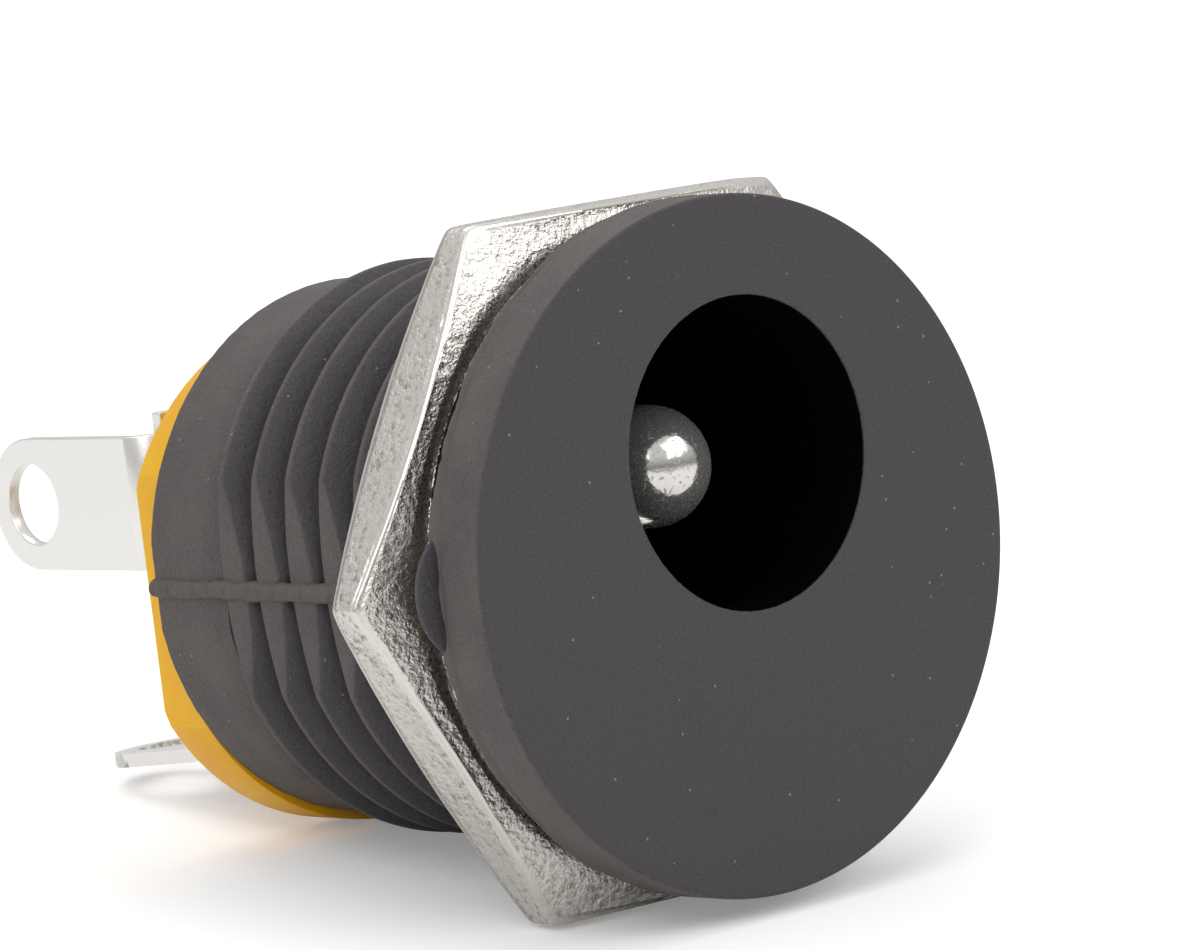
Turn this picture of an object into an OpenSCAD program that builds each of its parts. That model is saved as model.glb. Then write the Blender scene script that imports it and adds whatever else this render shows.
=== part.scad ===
// Panel-mounted power socket for a round plug: a moulded threaded housing
// with its nut, a rear insulator, a riveted centre pin and three formed contacts.
// The thread's axis is Y. The flange's seat against the panel is the plane y = 0,
// the plug goes in from -Y, and the solder lugs stand out towards +Y.

/* [Flange] */
// Diameter of the front flange
flange_d = 14; // [13.4:0.1:16]
// Thickness of the front flange
flange_t = 1.15; // [1.1:0.05:2]
// Bevel that breaks the flange's edges
flange_edge = 0.12; // [0.05:0.01:0.25]

/* [Thread] */
// Outside diameter of the thread
thread_d = 12; // [11.9:0.05:12.6]
// Pitch of the thread
thread_pitch = 1.05; // [0.75:0.05:1.1]
// Depth of the thread
thread_depth = 0.63; // [0.4:0.01:0.65]
// Width of the thread's crest
crest_w = 0.12; // [0.06:0.01:0.2]
// Length of the threaded barrel behind the flange
thread_len = 8.45; // [7.5:0.05:12]
// Width across the two side flats of the barrel
barrel_flats = 11.16; // [10.8:0.02:11.8]

/* [Collar] */
// Diameter of the plain collar behind the thread
collar_d = 11.3; // [11.1:0.05:11.7]
// Length of the plain collar
collar_len = 2.57; // [2:0.05:4]

/* [Socket] */
// Diameter of the socket's mouth
mouth_d = 6.28; // [5.9:0.02:6.5]
// How far the mouth's axis lies above the thread's axis
mouth_z = 1.82; // [1.5:0.02:1.9]
// How far the mouth's axis lies beside the thread's axis
mouth_x = 0.31; // [0:0.01:0.4]
// Depth of the mouth, from the front face to the wider chamber
mouth_len = 1.4; // [1.2:0.05:1.6]
// Diameter of the chamber behind the mouth, round the centre pin
chamber_d = 6.84; // [6.4:0.02:6.9]

/* [Centre pin] */
// Diameter of the centre pin
pin_d = 2.5; // [1.9:0.05:2.6]
// How far the pin's axis lies below the mouth's axis
pin_drop = 0.26; // [0:0.01:0.3]
// How far the pin's domed tip lies behind the front face
pin_recess = 1.8; // [1.7:0.05:3]
// Diameter of the shank that passes through the insulator
shank_d = 1.8; // [1.4:0.05:2]
// Diameter of the riveted head on the shank
rivet_d = 2.9; // [2.4:0.05:3.2]
// Height of the riveted head
rivet_h = 0.5; // [0.3:0.05:0.8]

/* [Nut] */
// Width of the nut across its flats
nut_flats = 14; // [13.6:0.1:15]
// Thickness of the nut
nut_t = 1.65; // [1.4:0.05:2.2]
// Diameter at which the nut's chamfers start
nut_face_d = 13.9; // [13.2:0.05:14.2]
// Angle of the nut's chamfers
nut_chamfer = 24; // [15:1:30]
// Countersink at each end of the nut's hole
nut_countersink = 0.3; // [0.1:0.05:0.4]
// Gap between the flange's seat and the nut
nut_gap = 0.97; // [0.2:0.01:5]
// Radial clearance of the nut over the thread's crests
nut_clearance = 0.05; // [0.03:0.01:0.1]

/* [Insulator] */
// Depth of the insulator's plug inside the collar
plug_len = 2.32; // [2:0.02:2.5]
// Wall of the collar round the plug
collar_wall = 0.65; // [0.5:0.05:0.7]
// Radial and end clearance of the plug in the housing
plug_clearance = 0.05; // [0.02:0.01:0.1]
// Diameter of the insulator's rear flange
rear_flange_d = 10.8; // [10.5:0.05:11]
// Thickness of the rear flange
rear_flange_t = 1.43; // [1:0.01:2]
// Width across the rear flange's two flats
rear_flange_flats = 9.4; // [9:0.05:9.8]
// How far the rear flange sits below the thread's axis
rear_flange_drop = 0.45; // [0.3:0.01:0.5]
// Bevel on the rear flange's back edge
rear_flange_edge = 0.15; // [0.05:0.01:0.3]

/* [Contacts] */
// Thickness of the contact sheet
sheet_t = 0.3; // [0.2:0.02:0.34]
// Radius inside a bend of the sheet
bend_r = 0.3; // [0.2:0.02:0.4]
// Width of a solder lug
lug_w = 2.84; // [2.4:0.02:2.9]
// Diameter of the hole in a solder lug
lug_hole_d = 1.74; // [1.2:0.02:1.8]
// Clearance round a strip or shank that passes through the insulator
slot_clearance = 0.05; // [0.03:0.01:0.08]
// How far the pin lug stands out behind the insulator
pin_lug_len = 5.5; // [4.5:0.1:8]
// Distance of the pin lug's outer face from the thread's axis
pin_lug_x = 4.45; // [4.2:0.01:4.6]
// Width of the pin lug's foot round the rivet
pin_foot_w = 3.7; // [3.2:0.05:3.8]
// How far the sleeve lug stands out behind the insulator
sleeve_lug_len = 5.5; // [4.5:0.1:8]
// Distance of the sleeve lug's outer face from the thread's axis
sleeve_lug_x = 4.2; // [4.1:0.01:4.3]
// Height of the sleeve lug's middle
sleeve_lug_z = -2.02; // [-2.1:0.01:-1.98]
// How far the switch lug stands out behind the insulator
switch_lug_len = 6.5; // [4.5:0.1:8]
// Angle at which the switch lug droops
switch_droop = 4.5; // [0:0.5:6]
// Width of the two strips inside the socket
strip_w = 2.6; // [2:0.05:2.7]
// Sideways place of the two strips
strip_x = -0.7; // [-0.8:0.01:0]
// Height of the switch strip and its lug
switch_z = -4.1; // [-4.14:0.01:-4.05]
// Height of the sleeve spring where it leaves the insulator
spring_z = -2.5; // [-2.6:0.01:-2.45]
// Height of the sleeve spring's crest, where it meets the plug
spring_top_z = -0.72; // [-0.9:0.02:-0.7]
// Distance of the spring's crest behind the flange's seat
spring_crest_y = 4.6; // [4.4:0.05:5.2]
// Length of the spring's free end ahead of its crest
spring_nose = 2; // [1.8:0.05:2.2]
// Gap between the spring's free end and the switch strip
switch_gap = 0.02; // [0:0.01:0.1]

/* [Hidden] */
$fn = 96;
eps = 0.01;

front_y = -flange_t;
rim_y = thread_len + collar_len;
plug_y = rim_y - plug_len;
back_y = rim_y + rear_flange_t;
thread_r = thread_d / 2;
root_r = thread_r - thread_depth;
pocket_r = collar_d / 2 - collar_wall;
pin_x = mouth_x;
pin_z = mouth_z - pin_drop;
foot_y = back_y + sheet_t;
strip_x0 = strip_x - strip_w / 2;
strip_x1 = strip_x + strip_w / 2;
channel_gap = 0.2;
channel_y = spring_crest_y - spring_nose - 0.6;
channel_z = switch_z - sheet_t / 2 - 0.12;

// ---------- shared shapes ----------

// A round bar along Y from y0 to y1
module bar(r, y0, y1, x = 0, z = 0) {
    translate([x, y0, z]) rotate([-90, 0, 0]) cylinder(r = r, h = y1 - y0);
}

// A flat outline in X and Z, given its depth from y0 to y1
module plate_y(y0, y1) {
    translate([0, y1, 0]) rotate([90, 0, 0]) linear_extrude(y1 - y0) children();
}

// An outline in Y and Z, given its width from x0 to x1
module plate_x(x0, x1) {
    translate([x0, 0, 0]) rotate([90, 0, 90]) linear_extrude(x1 - x0) children();
}

// A box between two opposite corners
module block(a, b) {
    translate(a) cube(b - a);
}

// A disc along Y whose rims are bevelled by the two amounts given
module disc_y(r, y0, y1, bevel0, bevel1) {
    translate([0, y0, 0]) rotate([-90, 0, 0]) rotate_extrude() polygon([
        [0, 0], [r - bevel0, 0], [r, bevel0],
        [r, y1 - y0 - bevel1], [r - bevel1, y1 - y0], [0, y1 - y0]
    ]);
}

// ---------- thread ----------

// Steps round one turn, and corners of the thread's section in one pitch
turn_steps = 40;
flank_w = (thread_pitch - 2 * crest_w) / 2;
section = [[0, 0], [crest_w, 0], [crest_w + flank_w, 1], [2 * crest_w + flank_w, 1]];
section_n = len(section);
// The ridge starts inside the flange and ends inside the collar
thread_y0 = 0.05 - thread_pitch;
thread_turns = ceil((thread_len - thread_y0) / thread_pitch);

// Share of the thread's depth at a place along the barrel: it runs out over the last turn
function runout(y) =
    let (left = (thread_len - y) / thread_pitch)
    left <= 0 ? 0 : left >= 1 ? 1 : left;

// Corner m of the section, turned j steps round the barrel
function thread_point(m, j) =
    let (
        s = section[m % section_n],
        y = thread_y0 + thread_pitch * (floor(m / section_n) + j / turn_steps) + s[0],
        r = root_r + thread_depth * s[1] * runout(y),
        a = 360 * j / turn_steps
    ) [r * cos(a), r * sin(a), y];

// One closed solid: the winding surface of the thread, capped at both ends
module thread_solid() {
    rows = section_n * thread_turns;
    points = concat(
        [for (m = [0:rows - 1], j = [0:turn_steps - 1]) thread_point(m, j)],
        [for (j = [0:turn_steps]) thread_point(rows, j)],
        [for (m = [rows - section_n + 1:rows - 1]) thread_point(m, turn_steps)],
        [[0, 0, thread_y0], [0, 0, thread_point(rows, 0)[2] + thread_pitch]]
    );
    top = rows * turn_steps;
    last = top + turn_steps + 1;
    low = last + section_n - 1;
    high = low + 1;
    // Where point (m, j) is stored: a full turn brings it to the row one pitch on
    function at(m, j) =
        m == rows ? top + j
        : j < turn_steps ? m * turn_steps + j
        : m + section_n < rows ? (m + section_n) * turn_steps
        : m + section_n == rows ? top
        : last + m + section_n - rows - 1;
    sides = [for (m = [0:rows - 1], j = [0:turn_steps - 1], half = [0, 1])
        half == 0
            ? [at(m, j), at(m + 1, j + 1), at(m, j + 1)]
            : [at(m, j), at(m + 1, j), at(m + 1, j + 1)]];
    bottom_cap = concat(
        [for (j = [0:turn_steps - 1]) [low, at(0, j), at(0, j + 1)]],
        [for (m = [0:section_n - 1]) [low, at(m + 1, 0), at(m, 0)]]
    );
    top_cap = concat(
        [for (j = [0:turn_steps - 1]) [high, at(rows, j + 1), at(rows, j)]],
        [for (m = [rows - section_n:rows - 1]) [high, at(m, turn_steps), at(m + 1, turn_steps)]]
    );
    polyhedron(points, concat(sides, bottom_cap, top_cap));
}

// ---------- housing ----------

// The flange, the threaded barrel with its two side flats, and the collar
module housing_outside() {
    disc_y(flange_d / 2, front_y, 0, flange_edge, flange_edge);
    intersection() {
        union() {
            rotate([-90, 0, 0]) thread_solid();
            bar(collar_d / 2, thread_len, rim_y);
        }
        block([-barrel_flats / 2, front_y / 2, -thread_d], [barrel_flats / 2, rim_y, thread_d]);
    }
}

// The mouth, the chamber, the channel under it and the pocket for the insulator
module housing_inside() {
    bar(mouth_d / 2, front_y - eps, front_y + mouth_len + eps, mouth_x, mouth_z);
    bar(chamber_d / 2, front_y + mouth_len, plug_y + eps, pin_x, pin_z);
    block(
        [strip_x0 - channel_gap, channel_y, channel_z],
        [strip_x1 + channel_gap, plug_y + eps, pin_z]
    );
    bar(pocket_r, plug_y, rim_y + eps);
}

module housing() {
    color("#2b292c") difference() {
        housing_outside();
        housing_inside();
    }
}

// ---------- nut ----------

module hex_nut() {
    corner_r = nut_flats / 2 / cos(30);
    face_r = nut_face_d / 2;
    drop = (corner_r - face_r) * tan(nut_chamfer);
    hole_r = thread_r + nut_clearance;
    color("#c9c8c4") translate([0, nut_gap, 0]) rotate([-90, 0, 0]) difference() {
        intersection() {
            cylinder(r = corner_r, h = nut_t, $fn = 6);
            rotate_extrude() polygon([
                [0, 0], [face_r, 0], [corner_r, drop],
                [corner_r, nut_t - drop], [face_r, nut_t], [0, nut_t]
            ]);
        }
        translate([0, 0, -eps]) cylinder(r = hole_r, h = nut_t + 2 * eps);
        for (end = [0, 1]) translate([0, 0, end * nut_t]) mirror([0, 0, end]) translate([0, 0, -eps])
            cylinder(r1 = hole_r + nut_countersink + eps, r2 = hole_r, h = nut_countersink + eps);
    }
}

// ---------- insulator ----------

module rear_flange() {
    intersection() {
        translate([0, 0, -rear_flange_drop])
            disc_y(rear_flange_d / 2, rim_y, back_y, 0, rear_flange_edge);
        block([-rear_flange_flats / 2, rim_y, -thread_d], [rear_flange_flats / 2, back_y, thread_d]);
    }
}

// A slot through the insulator for a strip at height z
module strip_slot(z) {
    block(
        [strip_x0 - slot_clearance, plug_y - eps, z - sheet_t / 2 - slot_clearance],
        [strip_x1 + slot_clearance, back_y + eps, z + sheet_t / 2 + slot_clearance]
    );
}

module insulator() {
    color("#e0a01c") difference() {
        union() {
            bar(pocket_r - plug_clearance, plug_y + plug_clearance, rim_y + eps);
            rear_flange();
        }
        bar(shank_d / 2 + slot_clearance, plug_y, back_y + eps, pin_x, pin_z);
        strip_slot(spring_z);
        strip_slot(switch_z);
    }
}

// ---------- centre pin ----------

module centre_pin() {
    tip_y = front_y + pin_recess;
    dome_y = tip_y + pin_d / 2;
    head_r = (pow(rivet_d / 2, 2) + pow(rivet_h, 2)) / (2 * rivet_h);
    color("#d2d0ca") {
        translate([pin_x, dome_y, pin_z]) sphere(d = pin_d);
        bar(pin_d / 2, dome_y, plug_y + plug_clearance, pin_x, pin_z);
        bar(shank_d / 2, plug_y, foot_y + eps, pin_x, pin_z);
        intersection() {
            translate([pin_x, foot_y + rivet_h - head_r, pin_z]) sphere(r = head_r);
            bar(rivet_d / 2, foot_y, foot_y + rivet_h, pin_x, pin_z);
        }
    }
}

// ---------- contacts ----------

// Outline of a solder lug of the given length from y = 0, with its hole at the round end
module lug_outline(length) {
    difference() {
        union() {
            translate([0, -lug_w / 2]) square([length - lug_w / 2, lug_w]);
            translate([length - lug_w / 2, 0]) circle(d = lug_w);
        }
        translate([length - lug_w / 2, 0]) circle(d = lug_hole_d);
    }
}

// An upright lug on the left, folded back from a foot that lies on the insulator.
// outer_x is the distance of the lug's outer face from the axis, z the height of its middle
module upright_lug(outer_x, z, length) {
    bend_out = bend_r + sheet_t;
    translate([bend_out - outer_x, back_y + bend_out, z - lug_w / 2]) rotate([0, 0, 180])
        rotate_extrude(angle = 90) translate([bend_r, 0]) square([sheet_t, lug_w]);
    translate([0, back_y + bend_out, z]) plate_x(-outer_x, sheet_t - outer_x)
        lug_outline(length - bend_out);
}

// The lug riveted to the centre pin's shank
module pin_lug() {
    bend_x = bend_r + sheet_t - pin_lug_x;
    color("#d9d9d4") {
        upright_lug(pin_lug_x, pin_z, pin_lug_len);
        plate_y(back_y, foot_y) difference() {
            union() {
                translate([pin_x, pin_z]) circle(d = pin_foot_w);
                translate([bend_x, pin_z - pin_foot_w / 2]) square([pin_x - bend_x, pin_foot_w]);
            }
            translate([pin_x, pin_z]) circle(d = shank_d + 2 * slot_clearance);
        }
    }
}

// Corners of a strip's section, thick on both sides of a line of points in Y and Z
function strip_normal(line, i) =
    let (
        a = line[max(i - 1, 0)],
        b = line[i],
        c = line[min(i + 1, len(line) - 1)],
        u = i == 0 ? c - b : b - a,
        v = i == len(line) - 1 ? b - a : c - b,
        nu = [-u[1], u[0]] / norm(u),
        nv = [-v[1], v[0]] / norm(v)
    ) (nu + nv) / (1 + nu * nv);
function strip_section(line, t) = concat(
    [for (i = [0:len(line) - 1]) line[i] + strip_normal(line, i) * t / 2],
    [for (i = [len(line) - 1:-1:0]) line[i] - strip_normal(line, i) * t / 2]
);

// The spring's line: straight out of the insulator, up to a rounded crest, and down to its nose
crest_steps = 8;
crest_r = 0.9;
spring_root = [plug_y - 0.4, spring_z];
spring_top = [spring_crest_y, spring_top_z - sheet_t / 2];
spring_rise = atan2(spring_top[1] - spring_root[1], spring_root[0] - spring_top[0]);
spring_fall = 38;
spring_line = concat(
    [[back_y, spring_z], spring_root],
    [for (i = [0:crest_steps])
        let (a = spring_rise - (spring_rise + spring_fall) * i / crest_steps)
        spring_top + crest_r * [sin(a), cos(a) - 1]],
    [[spring_crest_y - spring_nose,
        spring_top[1] + crest_r * (cos(spring_fall) - 1)
            - (spring_nose - crest_r * sin(spring_fall)) * tan(spring_fall)]]
);
nose_end = spring_line[len(spring_line) - 1];

// The leaf that bears on the plug, folded up behind the insulator into the sleeve lug
module sleeve_spring() {
    bend_x = sleeve_lug_x - bend_r - sheet_t;
    fold_z = spring_z + sheet_t / 2;
    foot_top = sleeve_lug_z + lug_w / 2;
    color("#cfcdc6") {
        plate_x(strip_x0, strip_x1) polygon(strip_section(spring_line, sheet_t));
        intersection() {
            plate_x(strip_x0, strip_x1) translate([back_y, fold_z]) circle(r = sheet_t);
            block([strip_x0, back_y, fold_z - sheet_t], [strip_x1, foot_y, fold_z]);
        }
        mirror([1, 0, 0]) upright_lug(sleeve_lug_x, sleeve_lug_z, sleeve_lug_len);
        plate_y(back_y, foot_y) {
            translate([strip_x0, fold_z]) square([strip_w + eps, foot_top - fold_z]);
            translate([strip_x1, sleeve_lug_z - lug_w / 2]) square([bend_x - strip_x1, lug_w]);
        }
    }
}

// The flat strip under the spring. Its upturned end meets the spring's nose when no plug is in
module switch_contact() {
    end_y = nose_end[0] + 0.2;
    under = nose_end[1] + (end_y - nose_end[0]) * tan(spring_fall) - sheet_t / 2 / cos(spring_fall);
    top_z = under - sheet_t / 2 * tan(spring_fall) - switch_gap;
    turn_r = bend_r + sheet_t / 2;
    shoulder_y = back_y + sheet_t;
    line = concat(
        [[shoulder_y + sheet_t * cos(switch_droop), switch_z - sheet_t * sin(switch_droop)]],
        [[shoulder_y, switch_z]],
        [for (i = [0:crest_steps])
            let (a = 90 * i / crest_steps)
            [end_y + turn_r * (1 - sin(a)), switch_z + turn_r * (1 - cos(a))]],
        [[end_y, top_z]]
    );
    color("#d3d2cc") {
        plate_x(strip_x0, strip_x1) polygon(strip_section(line, sheet_t));
        translate([strip_x, shoulder_y, switch_z]) rotate([-switch_droop, 0, 0])
            translate([0, 0, -sheet_t / 2]) linear_extrude(sheet_t) rotate([0, 0, 90])
                translate([sheet_t / 2, 0]) lug_outline(switch_lug_len - sheet_t * 1.5);
    }
}

housing();
hex_nut();
insulator();
centre_pin();
pin_lug();
sleeve_spring();
switch_contact();
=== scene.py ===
"""A dc barrel jack lying on a white table: a black moulded housing with a nickel nut,
an amber insulator and tinned solder lugs, seen from its front left.

Every surface is a grid of points worked out from the sizes in JackSizes and from the frame.
The thread's axis is Y, the plug goes in from -Y, and the flange's seat is the plane y = 0.
"""
import math

import bpy
import numpy as np
from mathutils import Matrix, Vector


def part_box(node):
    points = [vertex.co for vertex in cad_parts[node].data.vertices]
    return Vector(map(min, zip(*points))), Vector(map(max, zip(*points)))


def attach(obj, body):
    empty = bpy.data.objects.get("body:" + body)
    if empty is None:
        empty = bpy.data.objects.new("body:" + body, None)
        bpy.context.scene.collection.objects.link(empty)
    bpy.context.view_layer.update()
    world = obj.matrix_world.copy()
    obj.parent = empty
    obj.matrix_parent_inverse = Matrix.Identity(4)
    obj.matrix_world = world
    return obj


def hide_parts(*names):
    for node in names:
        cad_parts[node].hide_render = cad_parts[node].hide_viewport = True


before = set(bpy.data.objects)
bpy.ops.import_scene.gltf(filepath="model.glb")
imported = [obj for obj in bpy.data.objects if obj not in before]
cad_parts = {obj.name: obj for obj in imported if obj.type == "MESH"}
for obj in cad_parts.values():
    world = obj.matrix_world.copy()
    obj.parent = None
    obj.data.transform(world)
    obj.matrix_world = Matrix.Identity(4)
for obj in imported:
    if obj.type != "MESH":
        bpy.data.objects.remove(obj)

bl_info = {
    "name": "DC Barrel Jack",
    "version": (1, 0, 0),
    "blender": (4, 5, 0),
    "location": "View3D > Sidebar > Jack",
    "description": "Dresses the barrel jack's solids and sets its stage",
    "category": "Object",
}

MM = 0.001
TAU = 2 * math.pi


# ---------------------------------------------------------------- sizes and colours

def length(name, description, value):
    """A length in millimetres, kept in metres."""
    return bpy.props.FloatProperty(
        name=name, description=description, default=value * MM, unit="LENGTH", precision=5)


def tint(name, description, value):
    """A linear colour."""
    return bpy.props.FloatVectorProperty(
        name=name, description=description, default=value, subtype="COLOR", size=3, min=0, max=1)


class JackSizes(bpy.types.PropertyGroup):
    """Sizes of the pieces that the scene draws in place of the plain solids."""

    flange_r: length("Flange radius", "Outer radius of the front flange", 7.0)
    flange_t: length("Flange thickness", "Thickness of the front flange", 1.15)
    flange_edge: length("Flange edge", "Radius that breaks the flange's edges", 0.1)
    thread_r: length("Thread radius", "Radius over the thread's crests", 6.0)
    thread_pitch: length("Thread pitch", "Pitch of the thread", 1.1)
    thread_depth: length("Thread depth", "Depth of the thread", 0.63)
    thread_crest: length("Thread crest", "Width of the thread's crest", 0.12)
    thread_start: length("Thread start", "Where the thread starts on the right side", -1.62)
    thread_end: length("Thread end", "Where the thread has run out", 9.15)
    thread_runout: length("Thread run-out", "Length over which the thread runs out", 0.4)
    flat_x: length("Flat", "Distance of the barrel's side flats from the axis", 5.58)
    collar_r: length("Collar radius", "Radius of the plain collar", 5.65)
    rim_y: length("Rim", "Where the collar ends", 11.02)
    pocket_r: length("Pocket radius", "Radius of the pocket for the insulator", 5.0)
    pocket_y: length("Pocket", "Where the pocket starts", 8.7)
    mouth_r: length("Mouth radius", "Radius of the socket's mouth", 3.14)
    mouth_x: length("Mouth offset X", "Sideways offset of the mouth", 0.31)
    mouth_z: length("Mouth offset Z", "Upward offset of the mouth", 1.82)
    mouth_y: length("Mouth depth", "Where the mouth widens into the chamber", 0.25)
    chamber_r: length("Chamber radius", "Radius of the chamber round the pin", 3.42)
    channel_floor: length("Channel floor", "How far below the axis the strips' channel reaches", 4.37)
    channel_left: length("Channel left", "How far left of the axis the channel reaches", 2.2)
    channel_right: length("Channel right", "How far right of the axis the channel reaches", 0.8)
    channel_y: length("Channel front", "Where the strips' channel starts", 2.0)
    pin_z: length("Pin height", "Height of the pin's axis", 1.56)
    pin_r: length("Pin radius", "Radius of the centre pin", 1.25)
    pin_rear_y: length("Pin rear", "Where the pin's thick part ends against the insulator", 8.75)
    pin_foot_y: length("Pin foot", "Where the riveted head starts", 12.75)
    shank_r: length("Shank radius", "Radius of the pin's shank", 0.9)
    rivet_r: length("Rivet radius", "Radius of the riveted head", 1.45)
    rivet_h: length("Rivet height", "Height of the riveted head's dome", 0.45)
    pin_tip_y: length("Pin tip", "Where the pin's dome ends", 0.65)
    nut_flat_r: length("Nut inner radius", "Half of the nut's width across flats", 7.0)
    nut_t: length("Nut thickness", "Thickness of the nut", 1.65)
    nut_y: length("Nut place", "Where the nut's front face lies", 0.97)
    nut_bore_r: length("Nut hole", "Radius of the nut's hole", 6.05)
    nut_face_r: length("Nut face", "Radius at which the chamfers start", 6.55)
    nut_corner_round: length("Nut corner", "Rounding of the nut's corners", 0.08)
    seam_w: length("Seam width", "Width of the ridge along the parting line", 0.4)
    seam_h: length("Seam height", "Height of the ridge along the parting line", 0.2)
    lobe_r: length("Lobe reach", "Radius of the smooth tongue of flash", 1.4)
    lobe_x: length("Lobe place", "How far left of the axis the tongue's middle lies", 6.0)
    lobe_y: length("Lobe depth", "How far behind the seat the tongue's middle lies", 0.3)
    lobe_t: length("Lobe thickness", "Half of the tongue's thickness", 0.2)
    flash_h: length("Flash", "Reach of the flash behind the flange", 0.42)


class JackColours(bpy.types.PropertyGroup):
    """Colours of the materials."""

    plastic: tint("Plastic", "Black moulding", (0.030, 0.027, 0.034))
    plastic_dust: tint("Plastic dust", "Dust and rub marks on the moulding", (0.110, 0.094, 0.082))
    nickel: tint("Nickel", "Nickel plate", (0.74, 0.71, 0.66))
    nickel_dark: tint("Nickel pits", "Pits and stains in the plate", (0.20, 0.15, 0.11))
    tin: tint("Tin", "Tinned sheet", (0.86, 0.85, 0.82))
    amber: tint("Amber", "Insulator resin", (0.98, 0.47, 0.004))
    table: tint("Table", "White table", (0.90, 0.90, 0.90))


class StageSettings(bpy.types.PropertyGroup):
    """The camera, the table and the light."""

    camera_place: bpy.props.FloatVectorProperty(
        name="Camera place", description="Where the camera stands", subtype="TRANSLATION",
        default=(-0.086333, -0.098042, 0.014622), size=3)
    camera_target: bpy.props.FloatVectorProperty(
        name="Camera target", description="Point at the middle of the picture", subtype="XYZ",
        default=(0.000238, 0.003371, 0.001405), size=3)
    camera_up: bpy.props.FloatVectorProperty(
        name="Camera up", description="Direction of the picture's upper edge", subtype="XYZ",
        default=(0.1556, -0.0041, 0.9878), size=3)
    lens: bpy.props.FloatProperty(
        name="Lens", description="Focal length on a 36 mm sensor", default=197.73)
    key: bpy.props.FloatProperty(
        name="Lights", description="Strength of the three soft boxes", default=1.0)
    world: bpy.props.FloatProperty(name="Ambient", description="Strength of the white room", default=0.7)


# ---------------------------------------------------------------- meshes

def build_mesh(name, points, quads, tris=None):
    """An object from an array of points and arrays of faces, turned so that its faces look outwards."""
    points = np.asarray(points, float).reshape(-1, 3)
    quads = np.asarray(quads, int).reshape(-1, 4)
    tris = np.asarray([] if tris is None else tris, int).reshape(-1, 3)
    fan = np.concatenate([quads[:, [0, 1, 2]], quads[:, [0, 2, 3]], tris])
    a, b, c = points[fan[:, 0]], points[fan[:, 1]], points[fan[:, 2]]
    if np.einsum("ij,ij->i", a, np.cross(b, c)).sum() < 0:
        quads, tris = quads[:, ::-1], tris[:, ::-1]
    mesh = bpy.data.meshes.new(name)
    mesh.vertices.add(len(points))
    mesh.vertices.foreach_set("co", points.astype(np.float32).ravel())
    loops = np.concatenate([quads.ravel(), tris.ravel()])
    totals = np.concatenate([np.full(len(quads), 4), np.full(len(tris), 3)])
    mesh.loops.add(len(loops))
    mesh.loops.foreach_set("vertex_index", loops.astype(np.int32))
    mesh.polygons.add(len(totals))
    mesh.polygons.foreach_set("loop_start", (np.cumsum(totals) - totals).astype(np.int32))
    mesh.polygons.foreach_set("use_smooth", np.ones(len(totals), bool))
    mesh.update(calc_edges=True)
    if mesh.validate():
        raise RuntimeError(name + ": the grid made broken faces")
    mesh.set_sharp_from_angle(angle=math.radians(38))
    obj = bpy.data.objects.new(name, mesh)
    bpy.context.scene.collection.objects.link(obj)
    return obj


def grid_faces(rows, columns, closed):
    """Quads of a grid whose columns wrap round. Closed: the last row joins the first too."""
    i = np.arange(rows if closed else rows - 1)[:, None]
    j = np.arange(columns)[None, :]
    k, m = (i + 1) % rows, (j + 1) % columns
    corners = [i * columns + j, i * columns + m, k * columns + m, k * columns + j]
    return np.stack(corners, -1).reshape(-1, 4)


def loft(name, rings, closed=False):
    """A closed skin over an array of rings (rows, columns, 3). Open ends are closed by a fan."""
    rows, columns = rings.shape[:2]
    quads = grid_faces(rows, columns, closed)
    if closed:
        return build_mesh(name, rings, quads)
    centres = np.stack([rings[0].mean(0), rings[-1].mean(0)])
    j = np.arange(columns)
    first, last = rows * columns, rows * columns + 1
    top = (rows - 1) * columns
    tris = np.concatenate([
        np.stack([np.full(columns, first), (j + 1) % columns, j], -1),
        np.stack([np.full(columns, last), top + j, top + (j + 1) % columns], -1)])
    return build_mesh(name, np.concatenate([rings.reshape(-1, 3), centres]), quads, tris)


def ring(radius, y, angles, cx=0.0, cz=0.0):
    """Points of a ring round the Y direction. radius and y may vary with the angle."""
    return np.stack([cx + radius * np.cos(angles), y + 0 * angles, cz + radius * np.sin(angles)], -1)


def corner_arc(a, b, c, size, steps=4):
    """Points that round the corner b of the section a-b-c with an arc of about that radius."""
    a, b, c = (np.asarray(p, float) for p in (a, b, c))
    u, v = (a - b) / np.linalg.norm(a - b), (c - b) / np.linalg.norm(c - b)
    t = np.linspace(0, 1, steps)[:, None]
    return (1 - t) ** 2 * (b + u * size) + 2 * t * (1 - t) * b + t ** 2 * (b + v * size)


def ripple(angles, seed, lowest, highest, falling=0.6):
    """Smooth noise between about -1 and 1 that repeats every turn: a sum of waves."""
    random = np.random.default_rng(seed)
    waves = np.arange(lowest, highest)
    size = (waves / lowest) ** -falling * random.normal(1, 0.3, len(waves))
    phase = random.uniform(0, TAU, len(waves))
    total = (size[:, None] * np.sin(waves[:, None] * angles.ravel()[None, :] + phase[:, None])).sum(0)
    return (total / np.abs(size).sum() * 2.5).reshape(angles.shape)


def smooth_step(x, a, b):
    """0 below a, 1 above b, with a smooth rise between."""
    t = np.clip((x - a) / (b - a), 0, 1)
    return t * t * (3 - 2 * t)


# ---------------------------------------------------------------- housing

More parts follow.
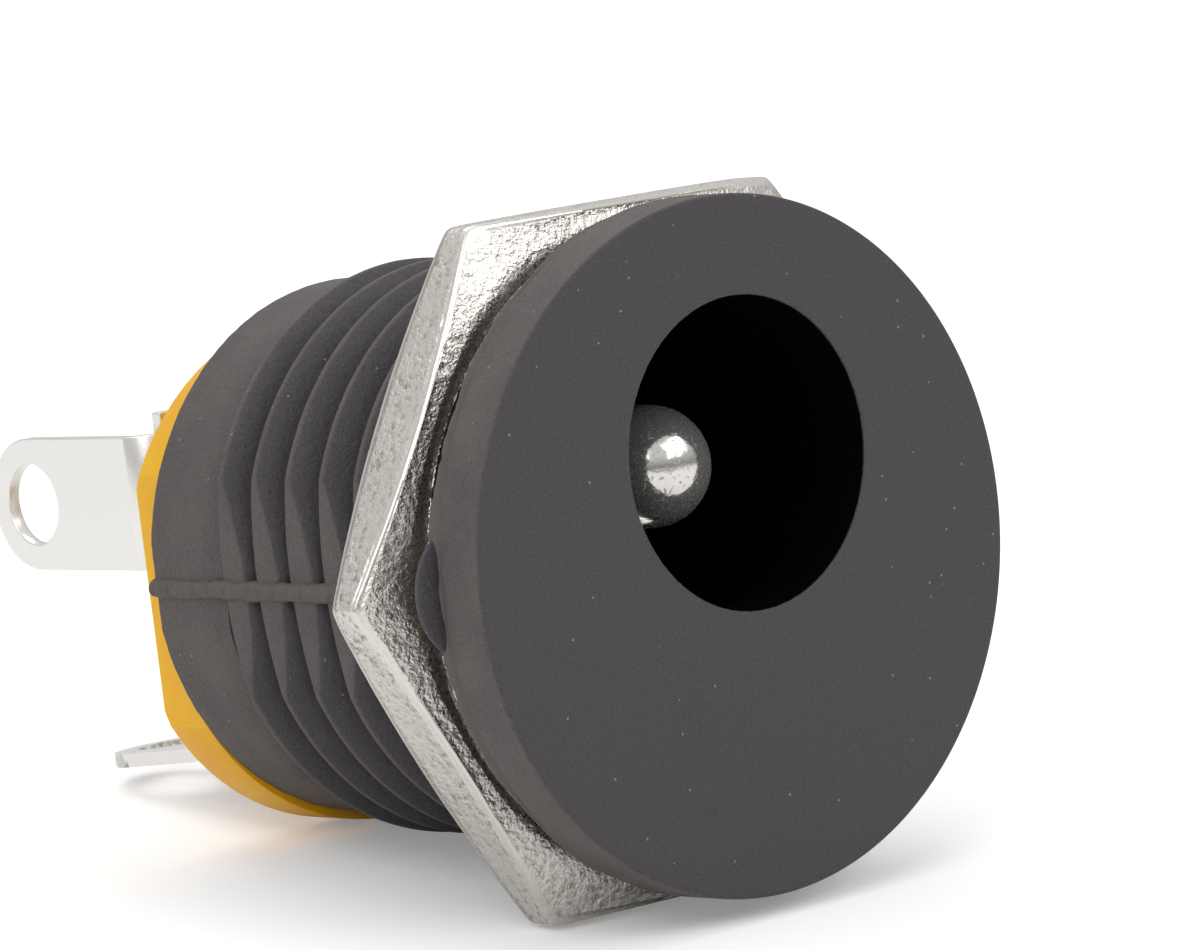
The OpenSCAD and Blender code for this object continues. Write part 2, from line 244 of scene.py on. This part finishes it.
def channel_outline(s, angles):
    """Distance from the pin's axis to the chamber's wall: the chamber's circle, or the straight
    sides and floor of the strips' channel below it where they lie further out."""
    low = -s.channel_floor - s.pin_z
    left, right = -s.channel_left - s.mouth_x, s.channel_right - s.mouth_x
    c, d = np.cos(angles), np.sin(angles)
    far = np.full_like(angles, 1.0)
    with np.errstate(divide="ignore", invalid="ignore"):
        to_floor = np.where(d < -1e-6, low / d, far)
        to_side = np.where(c < -1e-6, left / c, np.where(c > 1e-6, right / c, far))
    reach = np.where(d < 0, np.minimum(to_floor, to_side), 0)
    return np.maximum(s.chamber_r, reach)


def housing_body(s):
    """The moulding without its thread: one closed loop of rings, from the mouth over the flange,
    the barrel's core and the collar, and back through the pocket, the chamber and the mouth.
    Ring i is (cx + r cos a, y, cz + r sin a); between the mouth and the flange's rim the centre
    and radius are blended in a straight line, which makes the flat front face."""
    n = 640
    a = np.linspace(0, TAU, n, endpoint=False)
    core_r = s.thread_r - s.thread_depth - 0.01 * MM
    front, edge = -s.flange_t, s.flange_edge
    rows = []

    def add(r, y, cx=0.0, cz=0.0):
        rows.append(ring(r, y, a, cx, cz))

    def arc(p, q, t, size, steps):
        for r, y in corner_arc(p, q, t, size, steps):
            add(r, y)

    chips = ripple(a, 3, 30, 140, 0.1) * 0.012 * MM
    for r, y in corner_arc((s.mouth_r, 0), (s.mouth_r, front), (s.flange_r, front), 0.05 * MM, 4):
        add(r + chips, y, s.mouth_x, s.mouth_z)
    for t in (0.15, 0.4, 0.7, 0.9):
        r = s.mouth_r + (s.flange_r - edge * 1.4 - s.mouth_r) * t
        add(r, front, s.mouth_x * (1 - t), s.mouth_z * (1 - t))
    arc((0, front), (s.flange_r, front), (s.flange_r, 0), edge, 6)
    for t in (0.3, 0.6, 0.85):
        add(s.flange_r + ripple(a, 11, 5, 60, 0.4) * 0.008 * MM, front * (1 - t))
    arc((s.flange_r, front), (s.flange_r, 0), (core_r, 0), 0.09 * MM, 4)
    add((s.flange_r + core_r) / 2, 0)
    add(core_r, 0)
    for t in np.linspace(0.02, 1, 24):
        add(core_r, t * (s.thread_end - 0.35 * MM))
    flat = s.flat_x / np.maximum(np.abs(np.cos(a)), 1e-6)
    collar = np.minimum(s.collar_r, flat) + ripple(a, 5, 3, 40, 0.3) * 0.006 * MM
    add(collar - 0.12 * MM, s.thread_end - 0.30 * MM + ripple(a, 6, 1, 12) * 0.05 * MM)
    for t in (0.0, 0.25, 0.5, 0.75):
        add(collar, s.thread_end + 0.05 * MM + t * (s.rim_y - s.thread_end - 0.2 * MM))
    ragged = ripple(a, 7, 25, 110, 0.1) * 0.012 * MM
    for r, y in corner_arc((0, 0), (0, s.rim_y), (-1, s.rim_y), 0.06 * MM, 4):
        add(collar + np.clip(r, -0.06 * MM, 0) + ragged, y)
    add(s.pocket_r + 0.03 * MM, s.rim_y)
    add(s.pocket_r, s.rim_y - 0.03 * MM)
    add(s.pocket_r, (s.rim_y + s.pocket_y) / 2)
    add(s.pocket_r, s.pocket_y)
    outline = channel_outline(s, a)
    for y in (s.pocket_y, 6.0 * MM, 4.0 * MM, s.channel_y):
        add(outline, y, s.mouth_x, s.pin_z)
    add(np.full(n, s.chamber_r), s.channel_y - 0.01 * MM, s.mouth_x, s.pin_z)
    add(np.full(n, s.chamber_r), 1.0 * MM, s.mouth_x, s.pin_z)
    add(np.full(n, s.chamber_r), s.mouth_y, s.mouth_x, s.pin_z)
    add(s.mouth_r, s.mouth_y, s.mouth_x, s.mouth_z)
    add(s.mouth_r, s.mouth_y - 0.7 * MM, s.mouth_x, s.mouth_z)
    return loft("housing_body", np.array(rows), closed=True)


def housing_thread(s):
    """The thread's ridge: a trapezium swept along a right-hand helix, y = start + pitch * turns.
    Each side flat cuts it off at |x| = flat_x, so its crest there is r = flat_x / |cos a|
    and as wide as the flanks are at that height."""
    per_turn = 300
    turns = (s.thread_end - s.thread_start) / s.thread_pitch - 0.5
    t = np.linspace(0.3, turns, int(turns * per_turn))
    a = -TAU * t
    core = s.thread_r - s.thread_depth
    flank = (s.thread_pitch - 2 * s.thread_crest) / 2
    middle = s.thread_start + s.thread_pitch * (t + 0.5) + s.thread_crest / 2
    fade = np.clip((s.thread_end - middle) / s.thread_runout, 0.02, 1)
    height = s.thread_depth * fade + ripple(a / 3, 21, 3, 300, 0.3) * 0.010 * MM * fade
    flat = s.flat_x / np.maximum(np.abs(np.cos(a)), 1e-6)
    top = np.minimum(core + height, flat)
    foot = s.thread_crest / 2 + flank
    crest = s.thread_crest / 2 + flank * (core + height - top) / height
    soft = np.minimum(0.035 * MM, (top - core) * 0.4)
    wobble = ripple(a / 2, 22, 5, 200, 0.4) * 0.012 * MM
    sunk = np.full_like(t, core - 0.12 * MM)
    slope = flank / height
    section = [
        (-foot, sunk), (-foot, core + 0 * t), (-(crest + slope * soft) - 0.3 * soft, top - soft),
        (-crest, top - 0.25 * soft), (-crest + 0.6 * soft, top), (crest - 0.6 * soft, top),
        (crest, top - 0.25 * soft), ((crest + slope * soft) + 0.3 * soft, top - soft),
        (foot, core + 0 * t), (foot, sunk)]
    rings = np.stack([
        ring(r, middle + w + np.where(r > core, wobble, 0), a) for w, r in section], 1)
    return loft("housing_thread", rings)


def seam_ridge(s):
    """The rough ridge of flash along each parting line, at z = 0 on both side flats."""
    made = []
    for side, seed in ((-1, 31), (1, 41)):
        y = np.linspace(0.05 * MM, s.rim_y + 0.05 * MM, 420)
        u = y / s.rim_y * TAU
        across = np.linspace(-1, 1, 9)
        wide = s.seam_w / 2 * (1 + 0.22 * ripple(u, seed, 4, 60, 0.3))
        high = s.seam_h * (0.75 + 0.45 * ripple(u, seed + 1, 8, 130, 0.2))
        high = np.maximum(high, 0.02 * MM) * smooth_step(y, 0.0, 0.4 * MM)
        drift = 0.03 * MM * ripple(u, seed + 2, 1, 9)
        base = side * (s.flat_x - 0.08 * MM)
        rings = []
        for k, w in enumerate(across):
            bump = (1 - w * w) ** 0.5 * (1 + 0.35 * ripple(u, seed + 3 + k, 20, 160, 0.1))
            x = side * (s.flat_x - 0.02 * MM + high * np.clip(bump, 0, 1.4))
            rings.append(np.stack([x, y, -0.05 * MM + drift + w * wide], -1))
        rings.append(np.stack([0 * y + base, y, -0.05 * MM + drift + wide], -1))
        rings.append(np.stack([0 * y + base, y, -0.05 * MM + drift - wide], -1))
        made.append(loft("seam_left" if side < 0 else "seam_right", np.stack(rings, 1)))
    return made


def flange_flash(s):
    """The ragged fin of flash behind the flange's rim: a thin ring whose edge wanders."""
    n = 900
    a = np.linspace(0, TAU, n, endpoint=False)
    wander = ripple(a, 51, 2, 22, 0.5)
    rough = ripple(a, 52, 20, 240, 0.25)
    reach = s.flash_h * (0.8 + 0.35 * wander + 0.2 * rough)
    reach = np.clip(reach, 0.06 * MM, s.flash_h * 1.4)
    r = s.flange_r - 0.10 * MM + 0.05 * MM * ripple(a, 53, 3, 40, 0.4)
    thick = 0.045 * MM * (1 + 0.3 * ripple(a, 54, 10, 120, 0.2))
    sunk = -0.06 * MM
    inner = r - 0.16 * MM
    rows = [
        (inner - thick, sunk), (inner, reach * 0.3),
        (r - thick, reach * 0.75), (r - thick * 0.6, reach * 0.97),
        (r + thick * 0.6, reach), (r + thick, reach * 0.8),
        (inner + 2 * thick, reach * 0.3), (inner + thick, sunk)]
    return loft("flange_flash", np.array([ring(p, q + 0 * a, a) for p, q in rows]), closed=True)


def flange_lobe(s):
    """A smooth tongue of flash at the left parting line behind the flange: a flat ellipsoid,
    r = reach cos e, y = middle + thickness sin e, turned round a line along Y."""
    a = np.linspace(0, TAU, 96, endpoint=False)
    steps = np.linspace(-math.radians(88), math.radians(88), 25)
    rings = [ring(s.lobe_r * math.cos(e), s.lobe_y + s.lobe_t * math.sin(e), a, -s.lobe_x, 0.12 * MM)
             for e in steps]
    return loft("flange_lobe", np.array(rings))


# ---------------------------------------------------------------- nut

def hex_nut(s):
    """The nut. Its outline is r = flat / cos(a mod 60 - 30), held in at the corners by a
    rounding, and each chamfer is a cone that meets that outline, so its edge rises towards
    each corner: drop = (r - face_r) tan 18."""
    n = 1080
    a = np.linspace(0, TAU, n, endpoint=False)
    wedge = (a + TAU / 12) % (TAU / 6) - TAU / 12
    wedge = np.abs(wedge) - TAU / 12
    out = s.nut_flat_r / np.cos(wedge)
    sharp = s.nut_flat_r / math.cos(math.radians(30))
    limit = sharp - s.nut_corner_round * 0.45
    k = 0.05 * MM
    out = -k * np.log(np.exp(-out / k) + np.exp(-limit / k))
    out = out + ripple(a, 61, 6, 80, 0.5) * 0.008 * MM
    drop = np.maximum(out - s.nut_face_r, 0.01 * MM) * math.tan(math.radians(18))
    y0, y1, sink = s.nut_y, s.nut_y + s.nut_t, 0.3 * MM
    soft = 0.05 * MM
    rows, worn = [], []

    def add(r, y, w=0.0):
        rows.append(ring(r + 0 * a, y + 0 * a, a))
        worn.append(np.full(n, w))

    bore = s.nut_bore_r
    add(bore, y0 + sink)
    add(bore + sink - 0.03 * MM, y0 + 0.03 * MM, 0.6)
    add(bore + sink + 0.03 * MM, y0, 1.0)
    add((bore + sink + s.nut_face_r) / 2, y0)
    add(s.nut_face_r - 0.06 * MM, y0, 0.4)
    add(s.nut_face_r + 0.02 * MM, y0 + 0.015 * MM, 0.8)
    for t in (0.3, 0.6, 0.85):
        add(s.nut_face_r + (out - s.nut_face_r) * t, y0 + drop * t + 0.01 * MM, 0.15)
    add(out - soft, y0 + drop - soft * 0.35, 1.0)
    add(out - soft * 0.3, y0 + drop + soft * 0.2, 1.0)
    add(out, y0 + drop + soft, 1.0)
    for t in (0.12, 0.35, 0.65, 0.88):
        add(out, y0 + drop + soft + (s.nut_t - 2 * drop - 2 * soft) * t, 0.05)
    add(out, y1 - drop - soft, 1.0)
    add(out - soft * 0.3, y1 - drop - soft * 0.2, 1.0)
    add(out - soft, y1 - drop + soft * 0.35, 1.0)
    for t in (0.85, 0.6, 0.3):
        add(s.nut_face_r + (out - s.nut_face_r) * t, y1 - drop * t - 0.01 * MM, 0.15)
    add(s.nut_face_r + 0.02 * MM, y1 - 0.015 * MM, 0.8)
    add(s.nut_face_r - 0.06 * MM, y1, 0.4)
    add((bore + sink + s.nut_face_r) / 2, y1)
    add(bore + sink + 0.03 * MM, y1, 1.0)
    add(bore + sink - 0.03 * MM, y1 - 0.03 * MM, 0.6)
    add(bore, y1 - sink)
    obj = loft("nut_plated", np.array(rows), closed=True)
    spread = obj.data.attributes.new("worn", "FLOAT", "POINT")
    spread.data.foreach_set("value", np.array(worn).astype(np.float32).ravel())
    return obj


# ---------------------------------------------------------------- pin

def centre_pin(s):
    """The pin: a dome r = R cos e, y = tip + R (1 - sin e), a shaft, a shank and a riveted head."""
    n = 128
    a = np.linspace(0, TAU, n, endpoint=False)
    rear, foot, edge = s.pin_rear_y, s.pin_foot_y, 0.05 * MM
    head_y = foot + 0.04 * MM
    profile = [(s.pin_r * math.cos(e), s.pin_tip_y + s.pin_r * (1 - math.sin(e)))
               for e in np.linspace(math.radians(88.5), 0, 40)]
    profile += [(s.pin_r, y) for y in (3 * MM, 6 * MM, rear - edge)]
    profile += [(s.pin_r - edge, rear), (s.shank_r, rear), (s.shank_r, foot)]
    profile += [(s.rivet_r - 0.02 * MM, foot), (s.rivet_r, head_y)]
    profile += [(s.rivet_r * math.cos(e), head_y + s.rivet_h * math.sin(e))
                for e in np.linspace(0.12, math.radians(87), 14)]
    rings = np.array([ring(r, y, a, s.mouth_x, s.pin_z) for r, y in profile])
    return loft("pin_polished", rings)


# ---------------------------------------------------------------- materials

class Nodes:
    """Short names for building a material's node tree."""

    def __init__(self, name):
        self.material = bpy.data.materials.new(name)
        self.material.use_nodes = True
        self.tree = self.material.node_tree
        self.tree.nodes.clear()
        self.output = self.tree.nodes.new("ShaderNodeOutputMaterial")
        self.place = self.tree.nodes.new("ShaderNodeTexCoord").outputs["Object"]

    def node(self, kind, inputs=None, **settings):
        made = self.tree.nodes.new("ShaderNode" + kind)
        for key, value in settings.items():
            setattr(made, key, value)
        for key, value in (inputs or {}).items():
            if isinstance(value, bpy.types.NodeSocket):
                self.tree.links.new(value, made.inputs[key])
            else:
                made.inputs[key].default_value = value
        return made

    def noise(self, grain, detail=2.0, rough=0.5, stretch=None):
        """Noise with grains of about that size in metres, from 0 to 1. stretch lengthens it by axis."""
        place = self.place
        if stretch:
            shrink = [1 / v for v in stretch]
            place = self.node("VectorMath", {0: place, 1: shrink}, operation="MULTIPLY").outputs[0]
        made = self.node("TexNoise", {
            "Vector": place, "Scale": 1 / grain, "Detail": detail, "Roughness": rough})
        return made.outputs["Fac"]

    def levels(self, value, low, high, to_low=0.0, to_high=1.0):
        """value mapped from low..high to to_low..to_high, and held there."""
        return self.node("MapRange", {"Value": value, "From Min": low, "From Max": high,
                                      "To Min": to_low, "To Max": to_high}).outputs["Result"]

    def mix(self, amount, a, b):
        """A colour between a and b."""
        made = self.node("Mix", {0: amount}, data_type="RGBA")
        for slot, value in ((6, a), (7, b)):
            if isinstance(value, bpy.types.NodeSocket):
                self.tree.links.new(value, made.inputs[slot])
            else:
                made.inputs[slot].default_value = (*value, 1)
        return made.outputs[2]

    def maths(self, operation, a, b=0.0):
        return self.node("Math", {0: a, 1: b}, operation=operation).outputs[0]

    def bump(self, height, depth, below=None):
        """A bump of that depth in metres, laid over another one."""
        inputs = {"Height": height, "Distance": depth, "Strength": 1.0}
        if below:
            inputs["Normal"] = below
        return self.node("Bump", inputs).outputs["Normal"]

    def surface(self, shader):
        self.tree.links.new(shader, self.output.inputs["Surface"])
        return self.material

    def facing(self, axis):
        """The surface's own normal along X, Y or Z, before any bump."""
        normal = self.node("NewGeometry").outputs["Normal"]
        turned = self.node("VectorTransform", {"Vector": normal}, vector_type="NORMAL",
                           convert_from="WORLD", convert_to="OBJECT").outputs[0]
        return self.node("SeparateXYZ", {0: turned}).outputs[axis]


def socket_shade_mask(m):
    """1 in the socket's mouth and chamber, 0 elsewhere: within 3.6 mm of the pin's axis
    and behind the front face. This is where painted shade goes on the moulding."""
    part = m.node("SeparateXYZ", {0: m.place})
    x = m.maths("SUBTRACT", part.outputs[0], 0.31 * MM)
    z = m.maths("SUBTRACT", part.outputs[2], 1.7 * MM)
    r = m.maths("SQRT", m.maths("ADD", m.maths("MULTIPLY", x, x), m.maths("MULTIPLY", z, z)))
    near = m.levels(r, 3.65 * MM, 3.55 * MM)
    behind = m.levels(part.outputs[1], -1.13 * MM, -1.08 * MM)
    return m.maths("MULTIPLY", near, behind)


def black_plastic(colours, name, dust_low, dust_high):
    """The grainy black moulding, with warm dust on its sides and white specks, and painted shade in the
    socket: near black there, with little specular.
    """
    m = Nodes(name)
    sides = m.levels(m.facing("Y"), -0.9, -0.3, dust_low, dust_high)
    cloud = m.levels(m.noise(1.6 * MM, 4.0, 0.6), 0.3, 0.7, 0.55, 1.25)
    grain = m.noise(0.05 * MM, 3.0, 0.65)
    dust = m.maths("MULTIPLY", m.maths("MULTIPLY", sides, cloud), m.levels(grain, 0.25, 0.75, 0.5, 1.5))
    colour = m.mix(dust, colours.plastic, colours.plastic_dust)
    cells = m.node("TexVoronoi", {"Vector": m.place, "Scale": 1 / (0.32 * MM)})
    pick = m.node("SeparateColor", {0: cells.outputs["Color"]}).outputs[0]
    dot = m.levels(cells.outputs["Distance"], 0.10, 0.05)
    speck = m.maths("MULTIPLY", dot, m.levels(pick, 0.72, 0.76))
    colour = m.mix(speck, colour, (0.30, 0.28, 0.24))
    colour = m.mix(m.levels(grain, 0.3, 0.75, 0.0, 0.5), colour, (0.115, 0.105, 0.112))
    # painted shade: the socket's mouth and chamber are made near black, where the light falls off in the
    # socket
    socket_shade = socket_shade_mask(m)
    colour = m.mix(socket_shade, colour, (0.0012, 0.0006, 0.0005))
    pore = m.noise(0.11 * MM, 2.0, 0.5)
    bump = m.bump(pore, 0.022 * MM)
    bump = m.bump(grain, 0.016 * MM, bump)
    # painted shade: in the socket the specular is also turned down
    shader = m.node("BsdfPrincipled", {
        "Base Color": colour, "Roughness": 0.62,
        "Specular IOR Level": m.levels(socket_shade, 0, 1, 0.42, 0.04), "Normal": bump})
    return m.surface(shader.outputs[0])


def nickel_plate(colours):
    """Granular nickel plate, burnished where the attribute worn is 1."""
    m = Nodes("nickel_plate")
    worn = m.node("Attribute", attribute_name="worn", attribute_type="GEOMETRY").outputs["Fac"]
    coarse = m.noise(0.16 * MM, 3.0, 0.6)
    fine = m.noise(0.06 * MM, 2.0, 0.6)
    cloud = m.noise(2.2 * MM, 3.0, 0.6)
    rough_part = m.levels(worn, 0.0, 0.7, 1.0, 0.12)
    depth = m.maths("MULTIPLY", rough_part, m.levels(cloud, 0.35, 0.62, 0.35, 1.0))
    height = m.maths("MULTIPLY", coarse, depth)
    bump = m.bump(height, 0.075 * MM)
    bump = m.bump(m.maths("MULTIPLY", fine, depth), 0.02 * MM, bump)
    stain = m.maths("MULTIPLY", m.levels(coarse, 0.47, 0.34), depth)
    colour = m.mix(m.maths("MULTIPLY", stain, 0.75), colours.nickel, colours.nickel_dark)
    rough = m.levels(fine, 0.3, 0.7, 0.22, 0.38)
    shader = m.node("BsdfPrincipled", {
        "Base Color": colour, "Metallic": 1.0, "Roughness": rough, "Normal": bump})
    return m.surface(shader.outputs[0])


def pin_plate(colours):
    """Polished plate with small dark pits."""
    m = Nodes("pin_plate")
    pits = m.levels(m.noise(0.09 * MM, 2.0, 0.6), 0.42, 0.33)
    colour = m.mix(m.maths("MULTIPLY", pits, 0.6), (0.82, 0.80, 0.76), colours.nickel_dark)
    bump = m.bump(m.noise(0.25 * MM, 3.0, 0.5), 0.010 * MM)
    shader = m.node("BsdfPrincipled", {
        "Base Color": colour, "Metallic": 1.0,
        "Roughness": m.levels(pits, 0, 1, 0.12, 0.5), "Normal": bump})
    satin = m.node("BsdfDiffuse", {"Color": (0.55, 0.54, 0.52, 1), "Normal": bump})
    both = m.node("MixShader", {0: 0.22, 1: shader.outputs[0], 2: satin.outputs[0]})
    return m.surface(both.outputs[0])


def tinned_sheet(colours):
    """Bright tinned sheet with faint waves."""
    m = Nodes("tinned_sheet")
    wave = m.noise(0.8 * MM, 3.0, 0.5)
    fine = m.noise(0.05 * MM, 2.0, 0.6, (1, 4, 1))
    bump = m.bump(fine, 0.0008 * MM, m.bump(wave, 0.012 * MM))
    shader = m.node("BsdfPrincipled", {
        "Base Color": (*colours.tin, 1), "Metallic": 1.0,
        "Roughness": m.levels(fine, 0.3, 0.7, 0.3, 0.38), "Normal": bump})
    return m.surface(shader.outputs[0])


def amber_resin(colours):
    """Translucent amber resin."""
    m = Nodes("amber_resin")
    cloud = m.levels(m.noise(1.5 * MM, 4.0, 0.6), 0.3, 0.7)
    colour = m.mix(cloud, colours.amber, (1.0, 0.56, 0.012))
    bump = m.bump(m.noise(0.3 * MM, 3.0, 0.5), 0.01 * MM)
    skin = m.node("BsdfPrincipled", {
        "Base Color": colour, "Roughness": 0.42, "Subsurface Weight": 0.25,
        "Subsurface Radius": (0.8, 0.35, 0.08), "Subsurface Scale": 1.2 * MM, "Normal": bump})
    through = m.node("BsdfTranslucent", {"Color": colour, "Normal": bump})
    both = m.node("MixShader", {0: 0.15, 1: skin.outputs[0], 2: through.outputs[0]})
    return m.surface(both.outputs[0])


def set_material(obj, material):
    """Gives the object that one material."""
    obj.data.materials.clear()
    obj.data.materials.append(material)


def soften(obj, width):
    """Joins a solid's split corners and rounds its edges a little."""
    weld = obj.modifiers.new("weld", "WELD")
    weld.merge_threshold = 0.0005 * MM
    bevel = obj.modifiers.new("bevel", "BEVEL")
    bevel.width, bevel.segments, bevel.limit_method = width, 2, "ANGLE"
    bevel.angle_limit = math.radians(35)
    bevel.harden_normals = True


# ---------------------------------------------------------------- operators

def sizes():
    return bpy.context.scene.jack_sizes


def colours():
    return bpy.context.scene.jack_colours


class JACK_OT_housing(bpy.types.Operator):
    """Builds the moulded housing, its thread, its seams and its flash"""

    bl_idname = "jack.housing"
    bl_label = "Build Housing"

    def execute(self, context):
        s = sizes()
        smooth = black_plastic(colours(), "moulded_black", 0.04, 0.75)
        rough = black_plastic(colours(), "moulded_flash", 1.2, 1.9)
        skins = [housing_body(s), housing_thread(s)]
        flash = [*seam_ridge(s), flange_flash(s), flange_lobe(s)]
        for obj in skins + flash:
            set_material(obj, rough if obj in flash[:3] else smooth)
            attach(obj, "jack")
        for obj in skins:
            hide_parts("housing")
        return {"FINISHED"}


class JACK_OT_nut(bpy.types.Operator):
    """Builds the nickel-plated nut"""

    bl_idname = "jack.nut"
    bl_label = "Build Nut"

    def execute(self, context):
        obj = hex_nut(sizes())
        set_material(obj, nickel_plate(colours()))
        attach(obj, "nut")
        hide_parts("hex_nut")
        return {"FINISHED"}


class JACK_OT_pin(bpy.types.Operator):
    """Builds the centre pin"""

    bl_idname = "jack.pin"
    bl_label = "Build Centre Pin"

    def execute(self, context):
        obj = centre_pin(sizes())
        set_material(obj, pin_plate(colours()))
        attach(obj, "jack")
        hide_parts("centre_pin")
        return {"FINISHED"}


class JACK_OT_contacts(bpy.types.Operator):
    """Dresses the insulator and the three formed contacts"""

    bl_idname = "jack.contacts"
    bl_label = "Dress Contacts and Insulator"

    def execute(self, context):
        tin = tinned_sheet(colours())
        for name in ("pin_lug", "sleeve_spring", "switch_contact"):
            soften(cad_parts[name], 0.035 * MM)
            set_material(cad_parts[name], tin)
        soften(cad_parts["insulator"], 0.10 * MM)
        set_material(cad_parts["insulator"], amber_resin(colours()))
        return {"FINISHED"}


def table_plane():
    """A point and the upward normal of the table, which touches the lower rear edges of the
    nut and of the insulator."""
    nut_low, nut_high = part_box("hex_nut")
    rear_low, rear_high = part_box("insulator")
    first = Vector((0, nut_high.y, nut_low.z))
    second = Vector((0, rear_high.y, rear_low.z))
    along = (second - first).normalized()
    return first, Vector((1, 0, 0)).cross(along).normalized()


def table_material(colour):
    """White table. The camera sees it a little brighter than it is, so that it runs into the
    white background."""
    m = Nodes("table")
    skin = m.node("BsdfDiffuse", {"Color": (*colour, 1)})
    seen = m.node("LightPath").outputs["Is Camera Ray"]
    lift = m.node("Emission", {"Color": (1, 1, 1, 1), "Strength": 0.22})
    added = m.node("AddShader", {0: skin.outputs[0], 1: lift.outputs[0]})
    both = m.node("MixShader", {0: seen, 1: skin.outputs[0], 2: added.outputs[0]})
    return m.surface(both.outputs[0])


def white_room(strength):
    """White for the camera and softer, with a darker horizon, for light and reflections."""
    world = bpy.data.worlds.new("white_room")
    bpy.context.scene.world = world
    world.use_nodes = True
    tree = world.node_tree
    tree.nodes.clear()
    link = tree.links.new
    place = tree.nodes.new("ShaderNodeTexCoord")
    part = tree.nodes.new("ShaderNodeSeparateXYZ")
    link(place.outputs["Generated"], part.inputs[0])
    ramp = tree.nodes.new("ShaderNodeValToRGB")
    stops = ramp.color_ramp.elements
    stops[0].position, stops[0].color = 0.0, (0.55, 0.55, 0.56, 1)
    stops[1].position, stops[1].color = 1.0, (1.0, 1.0, 1.0, 1)
    for position, level in ((0.46, 0.75), (0.51, 0.25), (0.58, 0.6), (0.68, 1.0)):
        stop = stops.new(position)
        stop.color = (level, level, level * 1.01, 1)
    raised = tree.nodes.new("ShaderNodeMapRange")
    raised.inputs["From Min"].default_value, raised.inputs["From Max"].default_value = -1, 1
    link(part.outputs["Z"], raised.inputs["Value"])
    link(raised.outputs["Result"], ramp.inputs["Fac"])
    room = tree.nodes.new("ShaderNodeBackground")
    room.inputs["Strength"].default_value = strength
    link(ramp.outputs["Color"], room.inputs["Color"])
    white = tree.nodes.new("ShaderNodeBackground")
    white.inputs["Color"].default_value, white.inputs["Strength"].default_value = (1, 1, 1, 1), 1.0
    path = tree.nodes.new("ShaderNodeLightPath")
    mix = tree.nodes.new("ShaderNodeMixShader")
    link(path.outputs["Is Camera Ray"], mix.inputs[0])
    link(room.outputs[0], mix.inputs[1])
    link(white.outputs[0], mix.inputs[2])
    out = tree.nodes.new("ShaderNodeOutputWorld")
    link(mix.outputs[0], out.inputs["Surface"])


def soft_light(name, place, target, width, height, radiance):
    """A soft box. radiance is how bright its face looks, so its power is radiance * area * pi."""
    data = bpy.data.lights.new(name, "AREA")
    data.shape, data.size, data.size_y = "RECTANGLE", width, height
    data.energy = radiance * width * height * math.pi
    obj = bpy.data.objects.new(name, data)
    obj.location = place
    obj.rotation_euler = (Vector(target) - Vector(place)).to_track_quat("-Z", "Y").to_euler()
    bpy.context.scene.collection.objects.link(obj)
    return obj


class JACK_OT_stage(bpy.types.Operator):
    """Sets the table, the camera and the light"""

    bl_idname = "jack.stage"
    bl_label = "Set Stage"

    def execute(self, context):
        scene = context.scene
        st = scene.jack_stage
        point, up = table_plane()
        side = Vector((1, 0, 0))
        ahead = up.cross(side)
        far = 1.5
        corners = [point + side * u * far + ahead * v * far
                   for u, v in ((-1, -1), (1, -1), (1, 1), (-1, 1))]
        mesh = bpy.data.meshes.new("table")
        mesh.from_pydata([tuple(c) for c in corners], [], [(0, 1, 2, 3)])
        mesh.update()
        table = bpy.data.objects.new("table", mesh)
        scene.collection.objects.link(table)
        set_material(table, table_material(colours().table))
        data = bpy.data.cameras.new("camera")
        data.lens, data.sensor_width, data.clip_start, data.clip_end = st.lens, 36, 0.005, 10
        camera = bpy.data.objects.new("camera", data)
        ahead = (Vector(st.camera_target) - Vector(st.camera_place)).normalized()
        right = ahead.cross(Vector(st.camera_up)).normalized()
        upward = right.cross(ahead)
        turn = Matrix((right, upward, -ahead)).transposed().to_4x4()
        camera.matrix_world = Matrix.Translation(Vector(st.camera_place)) @ turn
        scene.collection.objects.link(camera)
        scene.camera = camera
        lights = [
            soft_light("key_left", (-0.35, -0.22, 0.32), (0, 0.003, 0), 0.30, 0.30, 2.4 * st.key),
            soft_light("top", (0.05, 0.12, 0.45), (0, 0.003, 0), 0.40, 0.40, 1.2 * st.key),
            soft_light("front", (0.16, -0.42, 0.26), (0, 0.003, 0), 0.42, 0.26, 2.0 * st.key)]
        white_room(st.world)
        scene.view_settings.view_transform = "Standard"
        return {"FINISHED"}


class JACK_PT_panel(bpy.types.Panel):
    """Buttons for each part of the jack"""

    bl_idname = "JACK_PT_panel"
    bl_label = "DC Barrel Jack"
    bl_space_type = "VIEW_3D"
    bl_region_type = "UI"
    bl_category = "Jack"

    def draw(self, context):
        for operator in OPERATORS:
            self.layout.operator(operator.bl_idname)


OPERATORS = (JACK_OT_housing, JACK_OT_nut, JACK_OT_pin, JACK_OT_contacts, JACK_OT_stage)
CLASSES = (JackSizes, JackColours, StageSettings, *OPERATORS, JACK_PT_panel)


def register():
    for item in CLASSES:
        bpy.utils.register_class(item)
    bpy.types.Scene.jack_sizes = bpy.props.PointerProperty(type=JackSizes)
    bpy.types.Scene.jack_colours = bpy.props.PointerProperty(type=JackColours)
    bpy.types.Scene.jack_stage = bpy.props.PointerProperty(type=StageSettings)


def unregister():
    del bpy.types.Scene.jack_stage
    del bpy.types.Scene.jack_colours
    del bpy.types.Scene.jack_sizes
    for item in reversed(CLASSES):
        bpy.utils.unregister_class(item)


def main():
    register()
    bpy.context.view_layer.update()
    bpy.ops.jack.housing()
    bpy.ops.jack.nut()
    bpy.ops.jack.pin()
    bpy.ops.jack.contacts()
    bpy.ops.jack.stage()


if __name__ == "__main__":
    main()
